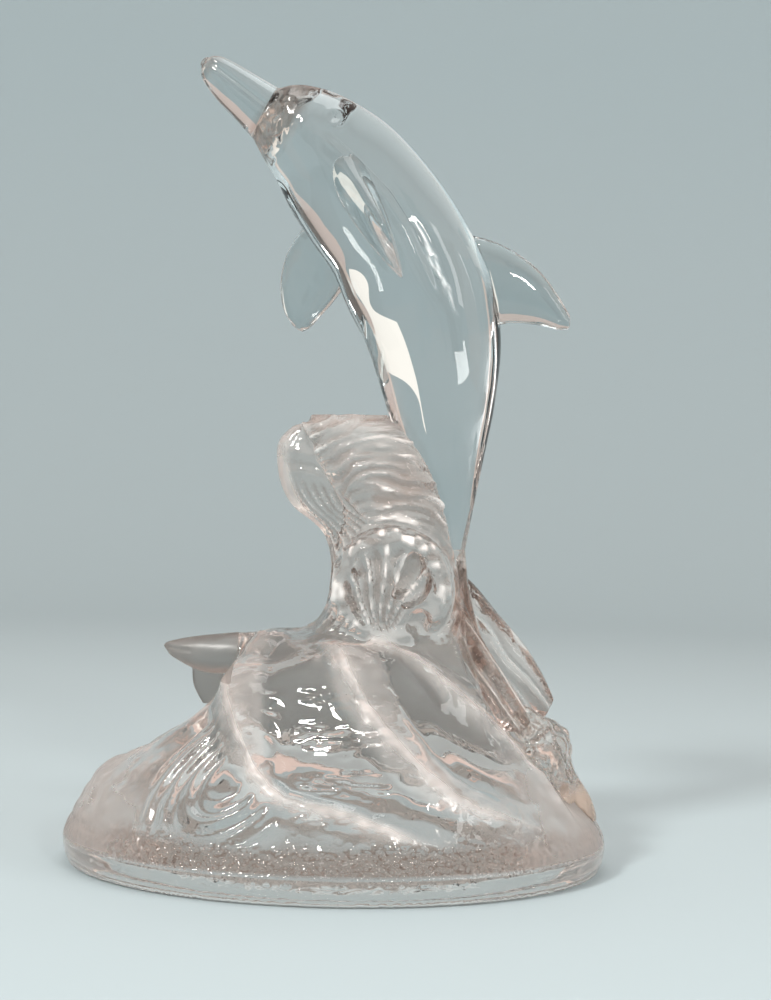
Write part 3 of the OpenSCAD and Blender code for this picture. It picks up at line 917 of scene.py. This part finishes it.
def wave_relief(pts, nor, frost_map, origin):
    """Flow lines on the column, the fan of ribs in the curl, and the unevenness of moulded glass.

    Returns the moved points and the values that the glass reads at each."""
    x, y, z = pts.T
    edge = np.interp(z, *spline_rows(LIP, 6)[:, :2].T)
    corner = np.interp(z, *CORNER.T)
    above = smoothstep(50.0, 53.0, z)  # on the column, not on the swell
    drift = noise(pts, 7.0, 11)
    patch = noise(pts, 4.5, 15)
    side = smoothstep(0.6, -0.6, x - corner) * above  # the lip's side of the corner
    facing = smoothstep(0.15, -0.25, nor[:, 1])  # on surfaces that look to the front
    # the lip: a rim and long streaks
    inset = x - edge
    rim = smoothstep(3.4, 2.0, inset) * smoothstep(72.0, 76.0, z)
    upright = smoothstep(85.0, 80.0, z)
    streak = crease(inset / 2.1 + drift * 0.35) * upright
    streak += 0.5 * crease((z + 0.3 * x) / 5.2 + drift * 0.6) * (1 - upright)
    push = side * (0.35 * rim + 0.55 * streak * (1 - rim)) * facing
    # the column: flow lines round the curl
    r = np.hypot(x - CURL_X, z - CURL_Z)
    turn_about = np.arctan2(z - CURL_Z, x - CURL_X)
    front = (1 - side) * above * smoothstep(13.6, 14.4, r) * facing
    flow = 0.55 * crease(r / 2.7 + drift * 0.75 + 0.3 * patch, 0.8) * smoothstep(-0.6, 0.3, patch)
    flow += 0.65 * noise(np.stack([r * 1.5, y * 0.4, turn_about * 6], 1), 2.0, 18)
    flow += 0.30 * noise(np.stack([r * 1.5, y * 0.4, turn_about * 4], 1), 1.0, 23)
    push += front * flow
    crown = smoothstep(74.0, 77.0, z)
    push += 0.45 * hump(x - corner, 0.8) * crown * facing
    # the curl: a raised band round a sunken fan of ribs
    face = smoothstep(-12.5, -15.0, y) * above * smoothstep(14.0, 13.0, r)
    band = hump(r - 11.2, 1.5) * smoothstep(49.5, 53.0, z)
    reach = np.hypot(x - FAN_X, z - FAN_Z)
    turn = np.arctan2(z - FAN_Z, x - FAN_X)
    fan = smoothstep(10.4, 8.6, r) * smoothstep(2.0, 5.0, reach) * smoothstep(14.0, 17.0, turn * 15)
    push += face * (0.75 * band - 1.3 * smoothstep(10.4, 8.0, r))
    ribs = fan * crease(turn / 0.21 + 0.035 * reach + drift * 0.25, 0.8)
    lumps = (0.35 + 0.65 * band) * noise(pts, 1.5, 16)
    push += face * (0.95 * ribs + 0.6 * lumps)
    # how high each point stands on that relief: -1 in the grooves, 1 on the crests
    stand = front * flow * 1.3 + face * (ribs + 1.4 * lumps)
    stand = stand + side * facing * (1 - rim) * 0.8 * streak
    # the sparkling bands, and faint unevenness everywhere
    water = smoothstep(10.5, 13.0, z) * (1 - above)
    bands = sum(hump(z - level, height) for level, height in SPARKLES)
    bands = bands * smoothstep(-9, -4, x) * smoothstep(15, 9, x) * smoothstep(-10, -14, y)
    grain = bands * 0.42 * noise(pts * [0.5, 1, 1.7], 1.3, 17)
    push += water * (grain + noise(pts, 5.0, 13) * 0.14)
    # the matte ends of the swell, and its frosted ridges
    ends = smoothstep(27, 47, np.abs(x + 3 * drift)) * (1 - above) * smoothstep(5.0, 6.5, z)
    push += water * ends * (0.7 * noise(pts, 5.5, 25) + 0.22 * noise(pts, 2.2, 26))
    pearl = sample(frost_map, (pts[:, :2] - origin[:2]) / VOXEL) * water
    push += 0.3 * pearl * noise(pts, 1.7, 24)
    # the mouth of the small dolphin
    mouth = hump(z - 46.3 + 0.13 * (x + 38.5), 0.4) * smoothstep(-31.0, -33.0, x)
    push -= 0.4 * mouth * smoothstep(0.3, 0.8, np.abs(y + 1)) * smoothstep(40, 43, z)
    # the shoulder of the foot
    push += smoothstep(5.7, 6.6, z) * smoothstep(11.5, 9.5, z) * noise(pts, 1.1, 12) * 0.10
    moved = pts + nor * (push * smoothstep(0.3, 1.0, z))[:, None]
    # where it is worn or matte
    worn = 0.8 * hump(x - corner, 0.7) * crown * facing
    worn = np.maximum(worn, 0.75 * rim * side * facing)
    worn = np.maximum(worn, 0.6 * smoothstep(94.0, 95.5, z))
    frost = np.maximum(pearl, worn)
    milk_and_highlight = 0.52 * frost * (0.85 + 0.4 * noise(pts, 2.2, 19))
    # painted highlights: the crests of the relief are milky white
    milk_and_highlight = np.maximum(milk_and_highlight, 0.9 * smoothstep(0.2, 1.0, stand))
    milk_and_highlight = np.maximum(milk_and_highlight, front * (0.09 + 0.09 * patch))
    frost = np.maximum(frost, 0.8 * ends)
    milk_and_highlight = np.maximum(milk_and_highlight, 0.16 * ends)
    frost = np.maximum(frost, front * (0.12 + 0.2 * patch))
    # painted warm shade, standing in for brown reflections: on frosted places, on the column
    # (most beside the tail), in the bands, on the small head, and in the grooves
    lee = smoothstep(3, 17, x) * smoothstep(13.0, 15.0, r)
    column_shade = (1 - side) * above * (0.42 + 0.18 * patch + 0.3 * lee)
    warm_shade = np.maximum(0.35 * frost * (1 - 0.6 * ends), column_shade)
    warm_shade = np.maximum(warm_shade, bands * water * (0.2 + 0.3 * patch))
    warm_shade = np.maximum(warm_shade, smoothstep(44, 47, z) * smoothstep(-26, -20, x) * 0.3)
    # painted shade: the grooves of the relief darken, and the crests are kept clear of it
    warm_shade = np.maximum(warm_shade, 0.95 * smoothstep(-0.1, -0.8, stand)) * smoothstep(0.9, 0.3, stand)
    stipple = smoothstep(5.4, 6.2, z) * smoothstep(13.0, 9.5, z + 1.5 * drift)
    stipple = stipple * (1 - 0.65 * smoothstep(34, 54, np.abs(x)))
    values = {"frost": frost, "warm_shade": warm_shade, "milk_and_highlight": milk_and_highlight, "stipple": stipple}
    return moved, {label: np.clip(v, 0, 1) for label, v in values.items()}


def cut(bm, co, no):
    """Two closed halves of a mesh at a plane: the one behind it and the one in front of it."""
    halves = []
    for sign in (1, -1):
        half = bm.copy()
        whole = half.verts[:] + half.edges[:] + half.faces[:]
        r = bmesh.ops.bisect_plane(
            half,
            geom=whole,
            dist=1e-8,
            plane_co=Vector(co) * MM,
            plane_no=Vector(no) * sign,
            clear_outer=True,
        )
        rim = [e for e in r["geom_cut"] if isinstance(e, bmesh.types.BMEdge) and e.is_boundary]
        fill = bmesh.ops.triangle_fill(half, use_beauty=True, use_dissolve=False, edges=rim)
        for e in rim:
            e.smooth = False
        for f in fill["geom"]:
            if isinstance(f, bmesh.types.BMFace):
                f.material_index = 1
                f.smooth = False
        bmesh.ops.recalc_face_normals(half, faces=half.faces[:])
        halves.append(half)
    return halves


def finish_piece(bm, name, node_name, slot_name, mat):
    """A part of the wave as a piece; its cut faces have the bond."""
    me = bpy.data.meshes.new(name)
    bm.to_mesh(me)
    bm.free()
    add(name, me, node_name, slot_name, mat, BOND)


origin, wave_field, foam_field, frost_map = wave_fields()
pts, quads = mesh_of(wave_field, origin)
pts, quads = largest_island(pts, quads)
pts = relax(pts, quads, 4)
pts, layers = wave_relief(pts, normals(pts, quads), frost_map, origin)
pts[:, 2] = np.where(pts[:, 2] < 0.35, 0.0, pts[:, 2])  # a flat underside
whole = bmesh.new()
whole_mesh = new_mesh("wave", pts, quads.tolist(), **layers)
whole.from_mesh(whole_mesh)
bpy.data.meshes.remove(whole_mesh)
foot, rest = cut(whole, (0, 0, FOOT_H), (0, 0, 1))
rim, rest = cut(rest, (0, 0, SHOULDER_H), (0, 0, 1))
swell, column = cut(rest, (0, 0, COLUMN_CUT), (0, 0, 1))
left, swell = cut(swell, (LEFT_CUT, 0, 0), (1, 0, 0))
centre, right = cut(swell, (RIGHT_CUT, 0, 0), (1, 0, 0))
left, head = cut(left, (LEFT_CUT, 0, HEAD_CUT), (0.06, 0, 1))
lip, column = cut(column, (LIP_CUT, 0, 0), (1, 0, 0))
curl, column = cut(column, (0, CURL_CUT, 0), (0, 1, 0))
finish_piece(foot, "foot_band", "base_foot", "clear_crystal", WATER)
finish_piece(rim, "stippled_rim", "base_rim", "frosted_crystal", WATER)
finish_piece(left, "left_swell", "swell_left", "frosted_crystal", WATER)
finish_piece(centre, "centre_swell", "swell_centre", "clear_crystal", WATER)
finish_piece(right, "right_swell", "swell_right", "clear_crystal", WATER)
finish_piece(head, "small_dolphin", "small_head", "frosted_crystal", DUSK)
finish_piece(lip, "wave_overhang", "wave_lip", "frosted_crystal", WATER)
finish_piece(column, "wave_trunk", "wave_column", "clear_crystal", WATER)
finish_piece(curl, "shell_curl", "wave_curl", "frosted_crystal", WATER)

foam_pts, foam_quads = mesh_of(foam_field, origin)
foam_pts = relax(foam_pts, foam_quads, 2)
broken = smoothstep(15.5, 20.0, foam_pts[:, 2])
rough_skin = noise(foam_pts, 3.2, 21) * 0.75 + noise(foam_pts, 1.5, 22) * 0.28
foam_pts += normals(foam_pts, foam_quads) * (rough_skin * (0.15 + 0.85 * broken))[:, None]
# the lower, smoother foam is frosted and milky, and gets painted warm shade
layers = {"frost": 0.85 - 0.75 * broken, "warm_shade": 1 - 0.75 * broken, "milk_and_highlight": 0.3 * (1 - broken)}
foam_mesh = new_mesh("foam_lumps", foam_pts, foam_quads.tolist(), **layers)
add("foam_lumps", foam_mesh, "foam_crest", "frosted_crystal", FOAM)
casting(
    "small_dolphin_fin", SMALL_FIN, "small_fin", "frosted_crystal", DUSK, steps=10, around=48,
    dome=0.3,
)


# ---------------------------------------- stage, in metres
FLOOR_R, SWEEP_R, WALL_TOP = 0.8, 0.5, 0.84  # the flat part, the bend up, and the wall's height
FLOOR_DROP = 0.0004  # so that the floor and the foot don't share a face


def bowl():
    """A pale floor that sweeps up into a wall all round, so that every view has the same ground."""
    turns = 96
    rings = [(r, -FLOOR_DROP) for r in np.linspace(0.02, FLOOR_R, 12)]
    for a in np.linspace(0, math.pi / 2, 14)[1:]:
        rings.append((FLOOR_R + SWEEP_R * math.sin(a), SWEEP_R * (1 - math.cos(a))))
    rings.append((FLOOR_R + SWEEP_R, WALL_TOP))
    verts = [
        (r * math.cos(t), r * math.sin(t), h)
        for r, h in rings
        for t in np.linspace(0, 2 * math.pi, turns, endpoint=False)
    ]
    faces = [
        (i + j, i + (j + 1) % turns, i + turns + (j + 1) % turns, i + turns + j)
        for i in range(0, (len(rings) - 1) * turns, turns)
        for j in range(turns)
    ]
    faces.append(tuple(range(turns))[::-1])
    me = bpy.data.meshes.new("floor")
    me.from_pydata(verts, [], faces)
    me.polygons.foreach_set("use_smooth", [True] * len(me.polygons))
    m, t = material("pale_floor")
    out = node(t, "ShaderNodeOutputMaterial")
    matte = {"Base Color": (0.46, 0.565, 0.60, 1), "Roughness": 0.8}
    p = node(t, "ShaderNodeBsdfPrincipled", matte)
    n = node(t, "ShaderNodeTexNoise", {"Scale": 400.0, "Detail": 2.0})
    b = node(t, "ShaderNodeBump", {"Strength": 0.15, "Distance": 0.0003})
    t.links.new(n.outputs["Fac"], b.inputs["Height"])
    t.links.new(b.outputs["Normal"], p.inputs["Normal"])
    t.links.new(p.outputs[0], out.inputs["Surface"])
    me.materials.append(m)
    ob = bpy.data.objects.new("floor", me)
    bpy.context.scene.collection.objects.link(ob)


def lamp(name, place, aim, size, power, colour=(1, 1, 1)):
    """A soft rectangular light that the camera doesn't see."""
    light = bpy.data.lights.new(name, "AREA")
    light.shape, light.size, light.size_y = "RECTANGLE", size[0], size[1]
    light.energy, light.color = power, colour
    ob = bpy.data.objects.new(name, light)
    ob.location = place
    ob.rotation_euler = (Vector(aim) - Vector(place)).to_track_quat("-Z", "Y").to_euler()
    ob.visible_camera = False
    bpy.context.scene.collection.objects.link(ob)


def card(name, corners, colour, strength=1.0):
    """A flat board that only the glass picks up, to darken its edges or to light it."""
    me = bpy.data.meshes.new(name)
    me.from_pydata(corners, [], [range(len(corners))])
    m, t = material(name)
    out = node(t, "ShaderNodeOutputMaterial")
    glow = node(t, "ShaderNodeEmission", {"Color": (*colour, 1), "Strength": strength})
    t.links.new(glow.outputs[0], out.inputs["Surface"])
    me.materials.append(m)
    ob = bpy.data.objects.new(name, me)
    bpy.context.scene.collection.objects.link(ob)
    ob.visible_camera = ob.visible_diffuse = ob.visible_shadow = False


bowl()
DARK, BLUSH = (0.15, 0.11, 0.09), (0.87, 0.70, 0.61)
BOARD_R, BOARD_LOW, BOARD_TOP = 0.7, 0.01, 0.6  # how far off they stand, and their levels
# where each starts and ends round the object, in degrees, and its colour
BOARDS = [
    (12, 23, DARK), (28, 40, BLUSH), (140, 152, BLUSH), (157, 169, DARK),
    (196, 214, BLUSH), (231, 242, DARK), (295, 305, DARK), (322, 344, BLUSH),
]
for k, (*sides, colour) in enumerate(BOARDS):
    (x1, y1), (x2, y2) = (
        (BOARD_R * math.cos(turn), BOARD_R * math.sin(turn)) for turn in map(math.radians, sides)
    )
    low = [(x1, y1, BOARD_LOW), (x2, y2, BOARD_LOW)]
    card(f"board_{k}", low + [(x2, y2, BOARD_TOP), (x1, y1, BOARD_TOP)], colour)
# a slanted strip with an uneven upper edge, behind the object and to the right
strip = [
    (0.0545, 0.141, 0.139), (0.230, 0.047, 0.238), (0.230, 0.047, 0.262), (0.190, 0.0684, 0.236),
    (0.160, 0.0845, 0.232), (0.125, 0.1032, 0.204), (0.100, 0.1166, 0.203), (0.0545, 0.141, 0.168),
]
card("bright_strip", strip, (1.0, 0.93, 0.85), 1.3)
lamp("key", (-0.5, -0.7, 0.75), (0, 0, 0.12), (0.18, 0.18), 7.5, (1, 0.965, 0.93))
lamp("spark", (0.35, -0.72, 0.42), (0, 0, 0.06), (0.1, 0.1), 1.5, (1, 0.96, 0.92))
lamp("fill", (0.8, -0.45, 0.45), (0, 0.2, 0.12), (0.5, 0.4), 2.6, (1, 0.98, 0.96))
lamp("overhead", (0.0, 0.1, 1.15), (0, 0, 0), (0.6, 0.6), 2.6)
bpy.context.scene.view_settings.view_transform = "Standard"

world = bpy.data.worlds.new("studio")
bpy.context.scene.world = world
world.use_nodes = True
sky = world.node_tree.nodes["Background"]
sky.inputs["Color"].default_value = (0.74, 0.60, 0.54, 1)
sky.inputs["Strength"].default_value = 1.0

camera = bpy.data.objects.new("camera", bpy.data.cameras.new("camera"))
bpy.context.scene.collection.objects.link(camera)
camera.data.lens = 64.9
camera.data.sensor_width = 36.0
camera.data.clip_start = 0.01
# level, straight in front of the object, and turned a little about its own axis
camera_x, camera_y, camera_z = 0.0095, -0.399, 0.0797
roll = math.radians(1.4)
camera.matrix_world = Matrix(
    (
        (math.cos(roll), -math.sin(roll), 0, camera_x),
        (0, 0, -1, camera_y),
        (math.sin(roll), math.cos(roll), 0, camera_z),
        (0, 0, 0, 1),
    )
)
bpy.context.scene.camera = camera
cycles = bpy.context.scene.cycles
cycles.max_bounces = 24
cycles.transmission_bounces = 24
cycles.glossy_bounces = 8
cycles.transparent_max_bounces = 48
